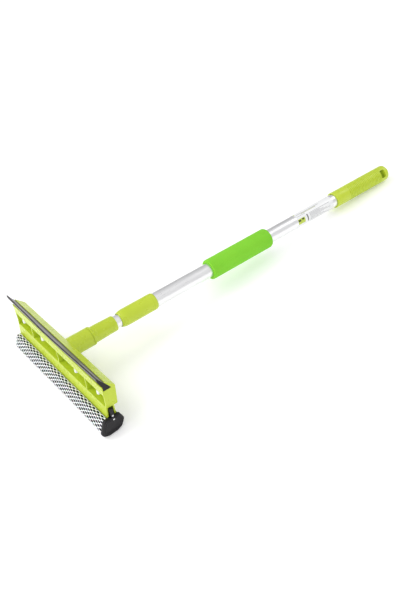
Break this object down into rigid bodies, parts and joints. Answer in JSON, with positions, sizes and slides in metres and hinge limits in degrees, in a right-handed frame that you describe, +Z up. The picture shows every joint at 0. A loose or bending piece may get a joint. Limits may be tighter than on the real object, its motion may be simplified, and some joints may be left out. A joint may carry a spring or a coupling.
{
  "type": "window cleaning pole system",
  "caption": "Window cleaning tool: a squeegee blade and a net-covered sponge on one moulded head, on a telescopic twist-lock pole with a foam sleeve and a ribbed end grip.",
  "frame": {"origin": "bottom centre of the bounding box, on the floor that the sponge and the end grip rest on", "axes": "+Y along the pole from the head towards the end grip (level on the floor, the pole itself slopes down 3.6 degrees), +Z up past the squeegee blade, +X along the head towards the capped end"},
  "size_m": [0.2064, 0.5746, 0.0797],
  "materials": {
    "lime_plastic": "moulded lime-green plastic, satin to glossy",
    "blade_rubber": "smooth dark grey rubber",
    "white_plastic": "plain white moulded plastic",
    "sponge_foam": "dark open-cell foam",
    "net_fabric": "white plastic net with rows of oval holes over the dark foam",
    "black_plastic": "black moulded plastic",
    "rivet_steel": "dull steel",
    "tube_aluminium": "satin aluminium tube",
    "foam_green": "soft green foam rubber",
    "label_film": null
  },
  "bodies": {
    "handle": {"outer_tube": "tube_aluminium", "lock_collar": "lime_plastic", "guide_bush": "white_plastic", "foam_grip": "foam_green", "label_wrap": "label_film", "end_grip": "lime_plastic"},
    "lock_sleeve": {"expander_sleeve": "white_plastic"},
    "lock_cone": {"cone_nut": "white_plastic"},
    "extension": {"inner_tube": "tube_aluminium", "lock_stud": "white_plastic", "pole_adapter": "lime_plastic", "head_frame": "lime_plastic", "squeegee_blade": "blade_rubber", "blade_peg_1": "white_plastic", "blade_peg_2": "white_plastic", "blade_peg_3": "white_plastic", "blade_peg_4": "white_plastic"},
    "cartridge": {"sponge_core": "sponge_foam", "sponge_net": "net_fabric", "sponge_carrier": "black_plastic", "end_cap": "black_plastic", "cap_rivet_1": "rivet_steel", "cap_rivet_2": "rivet_steel"}
  },
  "joints": [
    {"name": "pole_extend", "type": "slide", "parent": "handle", "child": "lock_sleeve", "axis": [0, -0.998, 0.063], "range_m": [0, 0.3]},
    {"name": "twist_lock", "type": "hinge", "parent": "lock_sleeve", "child": "extension", "pos_m": [-0.00255, 0.18607, 0.01722], "axis": [0, 0.998, -0.063], "range_deg": [0, 180]},
    {"name": "cone_travel", "type": "slide", "parent": "lock_sleeve", "child": "lock_cone", "axis": [0, 0.998, -0.063], "range_m": [0, 0.004]},
    {"name": "sponge_slide", "type": "slide", "parent": "extension", "child": "cartridge", "axis": [1, 0, 0], "range_m": [0, 0.18]}
  ],
  "couplings": [
    {"joint": "cone_travel", "follows": "twist_lock", "m_per_rad": 0.001273}
  ]
}
